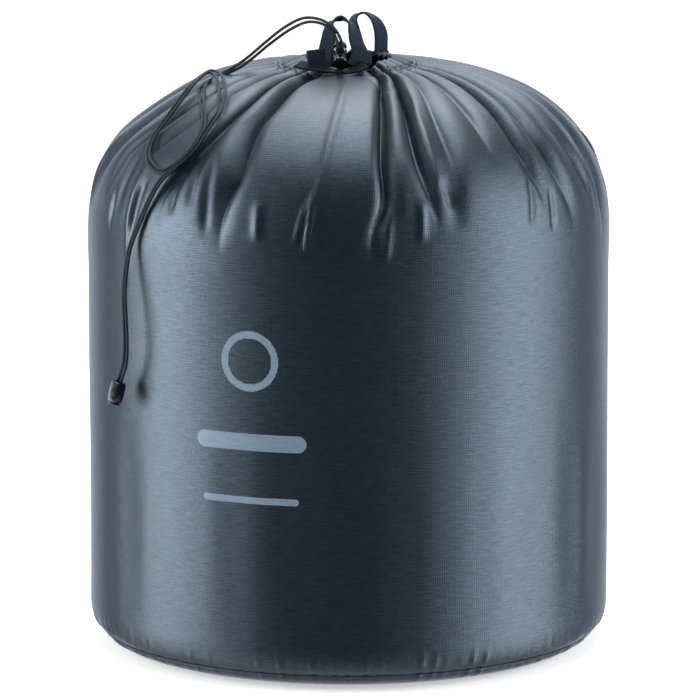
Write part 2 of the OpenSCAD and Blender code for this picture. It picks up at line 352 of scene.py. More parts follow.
# ---- side panel
rng = np.random.default_rng(7)
GIRTH = 2 * math.pi * BODY_R
COLS = 640
SIM_LOW = 150.0

# The creases that run down from the mouth. Each: how deep, how wide its soft side is (mm), how far
# down it dies out, then (mm down from the neck, degrees from the front towards +X)
CREASES = [
    (1.5, 12, 150, [(0, 25), (25, 15.5), (57, 10.6), (87, 8.2), (112, 7.9), (128, 5.1), (141, 4.7)]),
    (1.6, 15, 128, [(0, 35), (22, 25), (44, 20.5), (76, 17.6), (104, 18), (121, 19.5)]),
    (0.5, 13, 118, [(0, 47), (22, 36), (44, 29.5), (61, 27), (82, 26), (112, 26)]),
    (0.6, 14, 98, [(0, 60), (22, 49), (44, 42.5), (70, 39), (95, 37.5)]),
    (1.25, 16, 124, [(0, 73), (22, 61), (44, 54), (73, 49), (99, 47.4), (115, 48.5)]),
    (1.2, 13, 140, [(0, 86), (22, 71), (44, 62.5), (77, 56.5), (96, 56), (116, 57), (131, 58)]),
    (0.7, 13, 126, [(0, 98), (22, 84), (49, 73), (83, 67), (117, 67)]),
    (0.8, 14, 152, [(0, 110), (25, 94), (50, 84.5), (90, 77), (110, 76), (130, 75)]),
    (0.75, 15, 122, [(0, 122), (25, 106), (50, 96.5), (92, 90), (111, 88)]),
    (0.7, 14, 138, [(0, 134), (30, 119), (60, 110), (100, 104)]),
    (0.9, 15, 116, [(0, 146), (30, 133), (60, 125), (100, 119)]),
    (0.7, 13, 145, [(0, 158), (30, 147), (60, 140), (110, 134)]),
    (0.85, 15, 120, [(0, 170), (30, 162), (60, 155), (100, 149)]),
    (0.6, 13, 132, [(0, 182), (30, 175), (60, 170), (110, 166)]),
    (0.9, 15, 118, [(0, 194), (30, 188), (60, 184), (100, 181)]),
    (0.75, 14, 146, [(0, 209), (30, 203), (60, 199), (100, 197)]),
    (0.85, 15, 112, [(0, 220), (30, 216), (60, 213), (100, 212)]),
    (0.7, 13, 134, [(0, 231), (30, 229), (60, 227), (100, 226)]),
    (0.9, 15, 124, [(0, 243), (30, 242), (60, 241), (100, 241)]),
    (0.75, 14, 140, [(0, 254), (30, 256), (60, 256), (100, 255)]),
    (0.8, 14, 118, [(0, 265), (30, 270), (60, 271), (110, 270)]),
    (0.75, 13, 128, [(0, 277), (29, 284), (48, 285), (80, 284), (107, 282)]),
    (0.85, 14, 124, [(0, 289), (10, 293), (41, 297), (70, 295), (95, 290.5), (116, 290.5)]),
    (0.8, 14, 116, [(0, 302), (20, 307), (48, 308), (72, 306), (92, 302), (107, 301.5)]),
    (1.1, 15, 130, [(0, 316), (30, 320), (52, 320.5), (86, 317.5), (111, 314), (124, 312.5)]),
    (1.5, 18, 142, [(0, 333), (16, 331), (45, 332.5), (63, 331.5), (82, 332.5), (98, 333), (114, 331.6),
                    (134, 331.3)]),
]
# Short ridges and dents lower down: height, half width, from, to (mm down), degrees at each
SHORT_ONES = [
    (1.0, 2.4, 0, 132, 0, -8.5), (1.5, 1.5, 104, 140, -8, -9), (0.9, 1.3, 110, 134, -9.2, -11.6),
    (1.3, 2.4, 108, 146, 9.4, 7.6), (1.1, 2.2, 110, 134, 16.6, 15.9), (-1.2, 2.2, 102, 132, 46.5, 43.8),
    (-1.2, 2.0, 110, 136, 52, 50.4), (-1.0, 2.2, 100, 118, 21.8, 24), (1.1, 2.6, 110, 134, -20.3, -20),
    (-1.2, 2.6, 84, 120, -39.2, -37.6), (-1.3, 2.6, 82, 134, -35.6, -32.4), (-1.3, 2.3, 98, 124, -43.4, -43),
    (-1.5, 2.3, 104, 140, -53.6, -55.5), (-1.6, 1.6, 0, 34, 14, 19), (-2.2, 5, 40, 132, 25, 24),
]

prof = [(BODY_R, SIM_LOW + (WALL_H - SIM_LOW) * i / 40) for i in range(40)]
angle_neck = math.acos((NECK_R / BODY_R) ** (DOME_POWER / 2))
for i in range(201):
    a = angle_neck * i / 200
    prof.append((BODY_R * math.cos(a) ** (2 / DOME_POWER),
                 WALL_H + DOME_H * math.sin(a) ** (2 / DOME_POWER)))
NECK_AT = len(prof) - 1
STITCH_R = 34.0
TIP_R = 23.0
prof += [(37.0, 311.0), (STITCH_R, 311.8), (31.0, 312.8), (27.5, 314.0), (TIP_R, 315.2)]
prof = np.array(prof)
run = np.concatenate([[0], np.cumsum(np.linalg.norm(np.diff(prof, axis=0), axis=1))])
ROWS = int(run[-1] / 1.85) + 1
row_run = np.linspace(0, run[-1], ROWS)
row_r = np.interp(row_run, run, prof[:, 0])
row_z = np.interp(row_run, run, prof[:, 1])
slope = np.gradient(np.stack([row_r, row_z], 1), axis=0)
slope /= np.linalg.norm(slope, axis=1)[:, None]
row_out = np.stack([slope[:, 1], -slope[:, 0]], 1)
neck_row = int(np.argmin(np.abs(row_r - 40.5) + (row_z < 300) * 1e3))
down = np.maximum(run[NECK_AT] - row_run, 0)

cols_u = (np.arange(COLS) + 0.5) / COLS * GIRTH
SHIFT = math.radians(4.7)
wall_angle = cols_u / BODY_R + SHIFT
hem = smooth(NECK_R + 3, STITCH_R - 6, row_r) * (row_z > 300)

# each crease's direction at every row; its end sets which columns of cloth lie beside it
n_creases = len(CREASES)
crease_at = np.empty((ROWS, n_creases))
for k, (_, _, _, line) in enumerate(CREASES):
    line = np.array(line, float)
    fine_line = catmull(line, 2.0)
    crease_at[:, k] = np.radians(np.interp(down, fine_line[:, 0], fine_line[:, 1]))
ends = np.concatenate([crease_at[0], [crease_at[0, 0] + 2 * math.pi]])
lobe = np.clip(np.searchsorted(ends, wall_angle, side="right") - 1, 0, n_creases - 1)
frac = (wall_angle - ends[lobe]) / (ends[lobe + 1] - ends[lobe])
nxt = (lobe + 1) % n_creases
right_edge = crease_at[:, nxt] + np.where(lobe == n_creases - 1, 2 * math.pi, 0)[None, :]
left_edge = crease_at[:, lobe]
angles = left_edge * (1 - frac)[None, :] + right_edge * frac[None, :]
lobe_w = (right_edge - left_edge) * row_r[:, None]

depth = np.array([c[0] for c in CREASES])
soft = np.array([c[1] for c in CREASES], float)
dies = np.array([c[2] for c in CREASES], float)
alive = 1 - smooth((dies - 42)[None, :], (dies + 3)[None, :], down[:, None])
alive *= depth[None, :]
steep_left = rng.uniform(0, 1, n_creases) < 0.5
steep_left[[0, 1, 4, 5, 6, n_creases - 2]] = False
steep_left[n_creases - 1] = True


def crease_wall(dist, half, width, exponent):
    x = np.clip(dist / np.minimum(half, width), 0, 1)
    return 1 - np.sin(x * math.pi / 2) ** exponent


from_left = frac[None, :] * lobe_w
from_right = (1 - frac)[None, :] * lobe_w
half_lobe = lobe_w / 2
sharp = np.where(steep_left, 0.42, 0.85)
width_l = np.where(steep_left, 0.55, 1.1) * soft
width_r = np.where(steep_left, 1.1, 0.55) * soft
sharp_r = np.where(steep_left, 0.85, 0.42)
dent = alive[:, lobe] * crease_wall(from_left, half_lobe, width_l[lobe][None, :], sharp[lobe][None, :])
dent += alive[:, nxt] * crease_wall(from_right, half_lobe, width_r[nxt][None, :], sharp_r[nxt][None, :])
gain = np.interp(down, [0, 8, 30, 60, 90, 115, 135, 150, 165], [4.4, 5.0, 6.4, 7.2, 6.0, 4.2, 2.2, 0.8, 0])
gain = gain * (1 - 0.25 * hem)
lift = gain[:, None] * (0.5 * (1 - hem[:, None]) + 0.85 * hem[:, None] - dent)
for height, half_w, start_at, end_at, az0, az1 in SHORT_ONES:
    along = np.clip((down - start_at) / (end_at - start_at), 0, 1)
    middle_at = np.radians(az0 + (az1 - az0) * along)
    off = np.angle(np.exp(1j * (angles - middle_at[:, None]))) * row_r[:, None]
    body = smooth(0, 0.3, along) * (1 - smooth(0.75, 1.0, along))
    lift += height * body[:, None] * np.exp(-((off / half_w) ** 2))
# random short puckers round the rest of the shoulder
for _ in range(90):
    az = rng.uniform(62, 305)
    mid, length = rng.uniform(95, 132), rng.uniform(10, 24)
    hgt, wid = rng.normal(0, 0.9), rng.uniform(1.6, 3.2)
    tilt = rng.normal(0, 0.06)
    off = np.angle(np.exp(1j * (angles - math.radians(az)))) * row_r[:, None] + tilt * (down - mid)[:, None]
    lift += hgt * np.exp(-((off / wid) ** 2) - (((down - mid) / length) ** 2)[:, None])


def left_sag(x, y, z):
    """The shoulder stands a little lower on the left."""
    r = np.hypot(x, y)
    return 5.0 * np.exp(-(((r - 108) / 26) ** 2)) * np.clip(-x / np.maximum(r, 1), 0, 1) * (z > WALL_H - 30)


rr = row_r[:, None] + row_out[:, 0][:, None] * lift
zz = row_z[:, None] + row_out[:, 1][:, None] * lift
# azimuth 0 looks along +Y: the angle is counted from -Y towards +X
start = np.stack([rr * np.sin(angles), -rr * np.cos(angles), zz], axis=2)
start[:, :, 2] -= left_sag(start[:, :, 0], start[:, :, 1], start[:, :, 2])
# front lip: pulled down and out under the band
lip_at = np.angle(np.exp(1j * (angles[-1] - math.radians(7))))
lip = np.exp(-((lip_at / math.radians(27)) ** 4))
start[:, :, 2] -= hem[:, None] * lip[None, :] * 3.5
out_dir = start[:, :, :2] / np.hypot(start[:, :, 0], start[:, :, 1])[:, :, None]
start[:, :, :2] += out_dir * (hem * 5.0)[:, None, None] * lip[None, :, None]

rest = np.stack([
    BODY_R * np.sin(wall_angle)[None, :] * np.ones((ROWS, 1)),
    -BODY_R * np.cos(wall_angle)[None, :] * np.ones((ROWS, 1)),
    np.repeat((SIM_LOW + row_run)[:, None], COLS, 1),
], axis=2)


def relax_cloth(start_mm, rest_mm, pin, frames):
    """Lets the gathered cloth settle under pressure from inside, and returns its points."""
    rows, cols = start_mm.shape[:2]
    ob = new_mesh("cloth_sim", start_mm.reshape(-1, 3), grid_faces(rows, cols, True))
    ob.shape_key_add(name="start")
    key = ob.shape_key_add(name="flat_cloth")
    key.data.foreach_set("co", (rest_mm.reshape(-1, 3) * MM).ravel())
    group = ob.vertex_groups.new(name="pin")
    group.add([int(i) for i in np.nonzero(pin.ravel())[0]], 1.0, "REPLACE")
    mod = ob.modifiers.new("Cloth", "CLOTH")
    cs = mod.settings
    cs.quality = 7
    cs.mass = 0.02
    cs.tension_stiffness = cs.compression_stiffness = 30
    cs.shear_stiffness = 8
    cs.bending_stiffness = 0.05
    cs.tension_damping = cs.compression_damping = cs.shear_damping = 6
    cs.bending_damping = 0.5
    cs.air_damping = 3
    cs.vertex_group_mass = "pin"
    cs.use_pressure = True
    cs.uniform_pressure_force = 12
    cs.rest_shape_key = key
    cs.effector_weights.gravity = 0
    mod.collision_settings.use_collision = False
    mod.point_cache.frame_start = 1
    mod.point_cache.frame_end = frames
    sc = bpy.context.scene
    sc.frame_start, sc.frame_end = 1, frames
    for f in range(1, frames + 1):
        sc.frame_set(f)
    e = ob.evaluated_get(bpy.context.evaluated_depsgraph_get())
    out = np.empty(len(e.data.vertices) * 3)
    e.data.vertices.foreach_get("co", out)
    out = out.reshape(start_mm.shape) / MM
    sc.frame_set(1)
    bpy.data.objects.remove(ob, do_unlink=True)
    return out


def spread(grid, rows, cols):
    """Bilinear enlargement of a grid that wraps round its columns."""
    ri = np.linspace(0, grid.shape[0] - 1, rows)
    r0 = np.minimum(ri.astype(int), grid.shape[0] - 2)
    rf = (ri - r0)[:, None, None]
    g = grid[r0] * (1 - rf) + grid[r0 + 1] * rf
    ci = np.arange(cols) * grid.shape[1] / cols
    c0 = ci.astype(int)
    cf = (ci - c0)[None, :, None]
    return g[:, c0] * (1 - cf) + g[:, (c0 + 1) % grid.shape[1]] * cf


upper = start.copy()
SIM_FRAMES = 16
MOST_MOVE = 5.0
pick_rows = np.linspace(0, ROWS - 1, ROWS // 2).round().astype(int)
coarse_start = start[pick_rows][:, ::2]
pin = np.zeros(coarse_start.shape[:2])
pin[:2] = 1
pin[row_run[pick_rows] > run[NECK_AT] - 2] = 1
settled = relax_cloth(coarse_start, rest[pick_rows][:, ::2], pin, SIM_FRAMES)
moved = settled - coarse_start
size = np.linalg.norm(moved, axis=2, keepdims=True)
moved *= MOST_MOVE * np.tanh(size / MOST_MOVE) / np.maximum(size, 1e-6)
upper = start + spread(moved, ROWS, COLS)

# finer rows over the hem, with the two stitch lines drawn in
HEM_STEPS = 3
coarse = upper[neck_row:]
fine_at = np.linspace(0, len(coarse) - 1, (len(coarse) - 1) * HEM_STEPS + 1)
low_i = np.minimum(fine_at.astype(int), len(coarse) - 2)
part = (fine_at - low_i)[:, None, None]
fine = coarse[low_i] * (1 - part) + coarse[low_i + 1] * part
fine_run = np.interp(fine_at, np.arange(len(coarse)), row_run[neck_row:])
wobble = rng.normal(0, 0.35, COLS)
wobble = np.convolve(np.concatenate([wobble, wobble, wobble]), np.ones(9) / 9, "same")[COLS:2 * COLS] * 3
neck_dir = np.angle(np.exp(1j * (angles[-1] - math.radians(25))))
wobble += 5.0 * np.exp(-((neck_dir / math.radians(48)) ** 2))
TIP_RUN = run[-1]
STITCH_AT = (TIP_RUN - 12.5, TIP_RUN - 15.0)
for at in STITCH_AT:
    dent = np.exp(-(((fine_run[:, None] - at - wobble[None, :]) / 0.75) ** 2))
    fine[:, :, 2] -= dent * 0.55
hem_edge = np.exp(-(((fine_run[:, None] - (TIP_RUN - 17.2) - wobble[None, :]) / 0.6) ** 2))
fine[:, :, 2] += hem_edge * 0.45
upper = np.concatenate([upper[:neck_row], fine])
row_run = np.concatenate([row_run[:neck_row], fine_run])

# inner fold of the hem: over the tips, back down inside
tip = upper[-1]
tip_r = np.hypot(tip[:, 0], tip[:, 1])
tip_dir = np.stack([tip[:, 0] / tip_r, tip[:, 1] / tip_r, np.zeros(COLS)], 1)
inner = []
for dr, dz in ((-0.9, -0.5), (-0.9, -1.7), (0.4, -3.0), (3.5, -5.0), (7.5, -6.8), (11.0, -8.0)):
    inner.append(tip + tip_dir * dr + np.array([0, 0, dz]))
inner = np.array(inner)
inner_run = run[-1] + np.array([1.0, 2.2, 4.0, 7.7, 12.1, 15.8])

# wall below, down to the seam: near-cylindrical, with soft dents and short puckers at the seam
low_z = np.concatenate([np.linspace(SIM_LOW, CORNER_H, 44)[1:], np.linspace(CORNER_H, SEAM_H, 12)[1:]])


def harmonics(u, low, high, count, gen):
    """A sum of waves round the sack, each with a random count, phase and height."""
    k = gen.integers(low, high, count)
    ph = gen.uniform(0, 2 * math.pi, count)
    amp = gen.normal(0, 1, count) / np.sqrt(count)
    return sum(a * np.sin(u / BODY_R * n + p) for a, n, p in zip(amp, k, ph))


broad = harmonics(cols_u, 2, 9, 6, rng)
medium = harmonics(cols_u, 12, 40, 10, rng)
pucker = harmonics(cols_u, 50, 150, 24, rng)
pucker = np.clip(pucker - 0.1, 0, None)


def corner_r(z):
    if z >= CORNER_H:
        return BODY_R
    inward = 1 - ((CORNER_H - z) / CORNER_H) ** CORNER_POWER
    return BODY_R - CORNER_W + CORNER_W * inward ** (1 / CORNER_POWER)


def wall_offset(z):
    """Radial departure of the wall from its smooth shape, mm, by height."""
    mid = math.sin(math.pi * min(max((z - SEAM_H) / (SIM_LOW - SEAM_H), 0), 1))
    seam = math.exp(-((z - SEAM_H) / 8.0) ** 2)
    pinch = 1.6 * math.exp(-((z - SEAM_H) / 2.4) ** 2)
    gathered = pucker * 0.8 * seam * (1 - math.exp(-((z - SEAM_H) / 3.0) ** 2))
    return (broad * 0.9 + medium * 0.25) * mid + gathered - pinch


def round_row(r, z):
    return np.stack([r * np.sin(wall_angle), -r * np.cos(wall_angle), np.full(COLS, z)], 1)


lower = []
for z in low_z:
    lower.append(round_row(corner_r(z) + wall_offset(z), z))
lower = np.array(lower)[::-1]
low_z = low_z[::-1]
low_run = -(SIM_LOW - low_z)
panel = np.concatenate([lower, upper, inner])
panel_run = np.concatenate([low_run, row_run, inner_run])
us = np.concatenate([cols_u, [cols_u[0] + GIRTH]])
side = new_mesh("side_panel_cloth", panel.reshape(-1, 3), grid_faces(len(panel), COLS, True),
                grid_uv(us, panel_run))
finish_piece(side, M_CLOTH, "sack", "ripstop", "side_panel", "hem_channel")

# ---- base panel
BASE_RINGS = 26
EDGE_RINGS = 12
base_pts = []
for i in range(BASE_RINGS):
    if i < EDGE_RINGS:
        t = i / (EDGE_RINGS - 1)
        z = SEAM_H * (1 - t) ** 1.6
        r = corner_r(z) if z > 0.01 else BODY_R - CORNER_W
        pinch = 1.3 * math.exp(-((z - SEAM_H) / 1.8) ** 2)
        ripple = pucker * 1.1 * math.exp(-((z - SEAM_H + 2.5) / 3.0) ** 2)
        rad = r - pinch + ripple * 0.6
    else:
        t = (i - EDGE_RINGS + 1) / (BASE_RINGS - EDGE_RINGS)
        rad = np.full(COLS, (BODY_R - CORNER_W) * (1 - t) ** 0.9 + 0.5)
        z = 0.25 * math.sin(t * 9) ** 2
    base_pts.append(round_row(rad, z))
base_pts = np.array(base_pts)[::-1].reshape(-1, 3)
base_faces = grid_faces(BASE_RINGS, COLS, True)
base_uv = [tuple(base_pts[i][:2]) for f in base_faces for i in f]
base = new_mesh("base_panel_cloth", base_pts, base_faces, base_uv)
finish_piece(base, M_BASE, "sack", "base_cloth", "base_panel")


# ---- cloth surface for what lies on it
dg = bpy.context.evaluated_depsgraph_get()
surface = BVHTree.FromObject(side, dg)


def lifted(p, clear):
    """p moved outward until it clears the cloth by at least clear (mm)."""
    out = unit(p - np.array([0, 0, min(p[2], 200.0)])) if p[2] < WALL_H else unit(p - SACK_MIDDLE)
    origin = Vector((p + out * 40) * MM)
    hit = surface.ray_cast(origin, Vector(-out), 0.08)
    if hit[0] is None:
        return p
    top = np.array(hit[0]) / MM
    have = np.dot(p - top, out)
    return p + out * max(0.0, clear - have)


# ---- drawcord
CORD_D = 1.6
ARC = [
    (-4.5, -24, 313.7, 0.9), (-4.5, -26, 316, 0.9), (-4.5, -31, 322, 0.9),
    (-4.5, -36, 328, 0.95), (-5, -37.5, 331.5, 1), (-7.5, -37, 336.4, 0.9),
    (-11.5, -35.5, 339.8, 0.85), (-17, -33, 341.6, 1), (-24, -29.5, 341, 1.3),
    (-33, -24.5, 335.8, 1.3), (-43, -19, 327.5, 1.1), (-52, -14, 319.2, 1),
    (-60, -11, 313.1, 0.9),
]
COIL = [
    (83, 70.5, 2.2, 0.9), (80, 76, 1.8, 1.5), (72, 81, 1.6, 1.5), (63, 86.5, 1.6, 1.3),
    (54.5, 94, 1.6, 1.1), (48, 101.5, 1.6, 1), (44, 110.5, 1.6, 0.9), (43.5, 119.5, 1.6, 0.9),
    (45.5, 125, 1.6, 1), (48.5, 128, 1.6, 1.1), (53, 127, 1.6, 1.1), (57.5, 124, 1.6, 1.2),
    (60, 119, 1.6, 1.3), (61.5, 114, 1.6, 1.5), (64, 103, 2.4, 1.8), (66.5, 95, 4, 1.8),
    (69, 88, 6, 1.7), (75.5, 80, 6.5, 1.4), (80, 73.5, 6.5, 1.2), (71.5, 72, 5.5, 1.5),
    (60, 76.5, 5, 1.8), (51.5, 83.5, 5, 1.8), (45.5, 92, 5, 1.6), (42, 100, 5, 1.4),
    (41, 110.5, 5, 1.2), (41, 120, 5, 1), (44, 126.5, 5, 0.9),
]
TAIL = [
    (47, 263.5, 4.5, 0.9), (49, 253.5, 4, 0.9), (50.8, 243, 3.5, 0.9), (52.7, 230, 4.5, 0.9),
    (53, 217, 6.5, 0.9), (52.6, 204, 8.5, 1), (51.8, 190, 9.5, 1.2), (51.6, 178, 9.5, 1.3),
    (52, 168, 9.5, 1.3), (53, 162, 9.5, 1.2), (54, 157, 9.5, 1.1),
]


def off_cloth(a, r, z, lift_mm):
    a = math.radians(a)
    nr = (r / BODY_R) ** (DOME_POWER - 1) / BODY_R
    nz = 0.0 if z <= WALL_H else ((z - WALL_H) / DOME_H) ** (DOME_POWER - 1) / DOME_H
    k = math.hypot(nr, nz)
    r2 = r + nr / k * lift_mm
    return np.array([-r2 * math.sin(a), -r2 * math.cos(a), z + nz / k * lift_mm])


middle = [(np.array(q[:3], float), q[3], np.array([0.0, -1.0, 0.0])) for q in ARC]
for q in COIL:
    p = off_cloth(q[0], q[1], shoulder_z(q[1]), q[2])
    middle.append((p, q[3], unit(p - SACK_MIDDLE)))
for q in TAIL:
    p = off_cloth(q[0], shoulder_r(q[1]), q[1], q[2])
    middle.append((p, q[3], unit(p - SACK_MIDDLE)))
END_TOP = middle[-1][0]


LANDS_AT = 0.24  # share of the cord that stands free before it first lies on the cloth
CLOTH_GAP = 0.35


def strand(s):
    """Smooth centreline of one of the two strands, on side s of the pair's middle."""
    pts = []
    for i, (p, half, square_to) in enumerate(middle):
        before, after = middle[max(i - 1, 0)][0], middle[min(i + 1, len(middle) - 1)][0]
        pts.append(p + unit(np.cross(after - before, square_to)) * s * half)
    line = catmull(pts, 1.5)
    first = int(len(line) * LANDS_AT)
    want = CORD_D / 2 + CLOTH_GAP
    moved = line.copy()
    for i in range(first, len(line)):
        moved[i] = lifted(line[i], want)
    push = moved - line
    # spread each push along the cord so that it bends gently over the folds
    size = np.linalg.norm(push, axis=1)
    for _ in range(30):
        size[1:-1] = np.maximum(size[1:-1], 0.94 * 0.5 * (size[:-2] + size[2:]))
    out = np.array([unit(p - SACK_MIDDLE) for p in line])
    return line + out * size[:, None]


for name, s in (("cord_left", 1), ("cord_right", -1)):
    line = strand(s)
    ob = tube(name + "_braid", line, CORD_D / 2, 12)
    finish_piece(ob, M_CORD, "sack", "cord", name)

# ---- webbing
TAPE_W = 10.0
TAPE_T = 1.2


def ribbon(name, points, dirs, width=TAPE_W, thick=TAPE_T):
    """Tape swept along the points with its width along dirs, its edges rounded."""
    both = catmull([tuple(p) + tuple(d) for p, d in zip(points, dirs)], 0.45)
    path, widths_dir = both[:, :3], both[:, 3:]
    t = tangents(path)
    flat_w = width / 2 - 0.25
    xs = [(-1 + k / 6) * flat_w for k in range(13)]
    prof2 = [(x, thick / 2) for x in xs] + [(width / 2, 0.0)]
    prof2 += [(x, -thick / 2) for x in reversed(xs)] + [(-width / 2, 0.0)]
    n = len(prof2)
    verts, vs, run_len = [], [], 0.0
    for i, p in enumerate(path):
        d = widths_dir[i] - t[i] * np.dot(widths_dir[i], t[i])
        d = unit(d)
        up = np.cross(t[i], d)
        verts += [p + d * x + up * y for x, y in prof2]
        if i:
            run_len += np.linalg.norm(path[i] - path[i - 1])
        vs.append(run_len)
    faces_r = grid_faces(len(path), n, True) + end_faces(len(path), n)
    us_r = [0.0]
    for k in range(n):
        a, b = prof2[k], prof2[(k + 1) % n]
        us_r.append(us_r[-1] + math.hypot(b[0] - a[0], b[1] - a[1]))
    uv = grid_uv(us_r, vs) + [(0, 0)] * (2 * n)
    return new_mesh(name, verts, faces_r, uv)


FRONT_ROOT_L = (-12.6, -21.5, 319.2)
FRONT_ROOT_R = (8, -21.5, 319.2)
BACK_ROOT_L = (5, 21.5, 319.2)
BACK_ROOT_R = (17.5, 20.5, 319.2)
loop_front = ribbon("grab_loop_front_tape",
    [(-12.8, -21.6, 315.6), FRONT_ROOT_L, (-12, -21, 323), (-10.8, -20.5, 329), (-10, -20, 334),
     (-8.4, -20, 338.6), (-4, -20, 340.8), (0.2, -20, 338.4), (2.4, -20, 334), (3.8, -20.5, 329),
     (6, -21, 323.5), FRONT_ROOT_R, (8.4, -21.7, 315.6)],
    [(-0.8, 0.6, 0), (-0.8, 0.6, 0), (-0.8, 0.6, 0), (-0.75, 0.65, 0), (-0.6, 0.75, 0), (-0.3, 0.9, -0.3),
     (0.1, 0.9, -0.35), (0.3, 0.85, -0.35), (0.5, 0.8, -0.3), (0.65, 0.75, -0.1),
     (0.75, 0.65, 0), (0.8, 0.6, 0), (0.8, 0.6, 0)])
finish_piece(loop_front, M_TAPE, "front_loop", "webbing", "grab_loop_front")
loop_back = ribbon("grab_loop_back_tape",
    [(5.1, 21.6, 315.6), BACK_ROOT_L, (4.2, 21.5, 323), (3, 21, 329), (3, 20.5, 333.5), (5, 20, 337),
     (8.5, 20, 338.2), (12.4, 20, 336), (15.6, 20, 332), (17.4, 20, 326.5), BACK_ROOT_R, (17.5, 20.7, 315.6)],
    [(-0.7, 0.7, 0), (-0.7, 0.7, 0), (-0.7, 0.7, 0), (-0.6, 0.8, 0), (-0.4, 0.9, 0), (-0.1, 1, -0.15),
     (0.1, 1, -0.15), (0.3, 0.95, -0.1), (0.5, 0.85, 0), (0.65, 0.75, 0), (0.67, 0.74, 0), (0.67, 0.74, 0)])
finish_piece(loop_back, M_TAPE, "back_loop", "webbing", "grab_loop_back")
band = ribbon("front_band_tape",
    [(-27, -29, 317.6), (-20, -34, 316.6), (-12, -36.5, 315.6), (-4, -37.5, 314.6), (3, -37, 315.8),
     (9, -33, 318)],
    [(0.3, 1, 0.35), (0.2, 1, 0.3), (0.1, 1, 0.2), (0, 1, 0.12), (-0.2, 1, 0.3), (-0.4, 1, 0.5)],
    7.5, 1.0)
# the band's near-black colour is partly painted shade of the mouth under the lock
finish_piece(band, M_BAND_PAINTED_SHADE, "sack", "webbing", "front_band")
tab_l = ribbon("tab_left_tape", [(-16.2, -30.2, 315.8), (-16.8, -29.4, 319.5), (-17.6, -28.6, 325.4)],
    [(1, 0.15, 0.05), (1, 0.15, 0.12), (1, 0.1, 0.2)])
finish_piece(tab_l, M_TAPE, "sack", "webbing", "tab_left")
tab_r = ribbon("tab_right_tape", [(3.6, -30.4, 316.2), (5.8, -28.8, 321.4), (8.2, -27, 325.6)],
    [(1, 0.3, -0.35), (1, 0.3, -0.4), (1, 0.3, -0.5)])
finish_piece(tab_r, M_TAPE, "sack", "webbing", "tab_right")


def join_meshes(name, parts):
    """One mesh from several (verts, faces) lists in mm."""
    verts, faces_j = [], []
    for v, f in parts:
        base_i = len(verts)
        verts += [tuple(q) for q in v]
        faces_j += [tuple(i + base_i for i in g) for g in f]
    uv = [(verts[i][0] + verts[i][1], verts[i][2]) for g in faces_j for i in g]
    return new_mesh(name, verts, faces_j, uv)


def soft_box(mid, size, round_mm):
    """A box with rounded edges, as (verts, faces) in mm."""
    bm = bmesh.new()
    bmesh.ops.create_cube(bm, size=1)
    for v in bm.verts:
        v.co = Vector(mid) + Vector((v.co.x * size[0], v.co.y * size[1], v.co.z * size[2]))
    bmesh.ops.bevel(bm, geom=list(bm.edges), offset=round_mm, segments=3, affect="EDGES", profile=0.5)
    bm.verts.ensure_lookup_table()
    v = [tuple(q.co) for q in bm.verts]
    f = [tuple(q.index for q in g.verts) for g in bm.faces]
    bm.free()
    return v, f


def bar_tack(mid, width, rows_n=9):
    """Zigzag stitches over a tape's root, as short thread loops."""
    out = []
    for i in range(rows_n):
        x = mid[0] - width / 2 + width * (i + 0.5) / rows_n
        out.append(soft_box((x, mid[1] - 1.55, mid[2] - 2.4), (0.34, 0.3, 1.3), 0.12))
    return out


root_parts = []
for q in (FRONT_ROOT_L, FRONT_ROOT_R, BACK_ROOT_L, BACK_ROOT_R):
    root_parts.append(soft_box((q[0], q[1], q[2] - 2.5), (8.5, 3.0, 1.6), 0.45))
    root_parts += bar_tack(q, 7.6)
roots = join_meshes("loop_roots_tacked", root_parts)
finish_piece(roots, M_TAPE, "sack", "webbing", "loop_roots")

# ---- cord lock
LOCK_POS = Vector((-4.5, -32.4, 323.6)) * MM
LOCK_TILT = math.radians(50)
LOCK_TURN = Matrix.Translation(LOCK_POS) @ Matrix.Rotation(-LOCK_TILT, 4, "X")


def lathe(name, outline, sides, place):
    """A solid of revolution about local z from a closed (r, z) outline in mm."""
    n = len(outline)
    verts = []
    for k in range(sides):
        a = 2 * math.pi * k / sides
        verts += [(r * math.cos(a), r * math.sin(a), z) for r, z in outline]
    faces_l = []
    for k in range(sides):
        k2 = (k + 1) % sides
        for i in range(n):
            j = (i + 1) % n
            quad = [k * n + i, k2 * n + i, k2 * n + j, k * n + j]
            if outline[i][0] == 0:
                quad = [k * n + i, k2 * n + j, k * n + j]
            elif outline[j][0] == 0:
                quad = [k * n + i, k2 * n + i, k * n + j]
            if outline[i][0] == 0 and outline[j][0] == 0:
                continue
            faces_l.append(tuple(quad))
    ob = new_mesh(name, verts, faces_l)
    bm = bmesh.new()
    bm.from_mesh(ob.data)
    bmesh.ops.remove_doubles(bm, verts=bm.verts, dist=1e-6)
    bmesh.ops.recalc_face_normals(bm, faces=bm.faces)
    bm.to_mesh(ob.data)
    bm.free()
    ob.data.transform(place)
    return ob


def keep_result(ob):
    """Makes the modifiers' result the mesh itself."""
    graph = bpy.context.evaluated_depsgraph_get()
    me = bpy.data.meshes.new_from_object(ob.evaluated_get(graph))
    ob.modifiers.clear()
    ob.data = me


def cut_box(ob, mid, size, place, round_mm):
    """Cuts a rounded box (local mm) out of ob."""
    v, f = soft_box(mid, size, round_mm)
    tool = new_mesh("tool", v, f)
    tool.data.transform(place)
    mod = ob.modifiers.new("cut", "BOOLEAN")
    mod.operation = "DIFFERENCE"
    mod.solver = "EXACT"
    mod.object = tool
    keep_result(ob)
    bpy.data.objects.remove(tool, do_unlink=True)


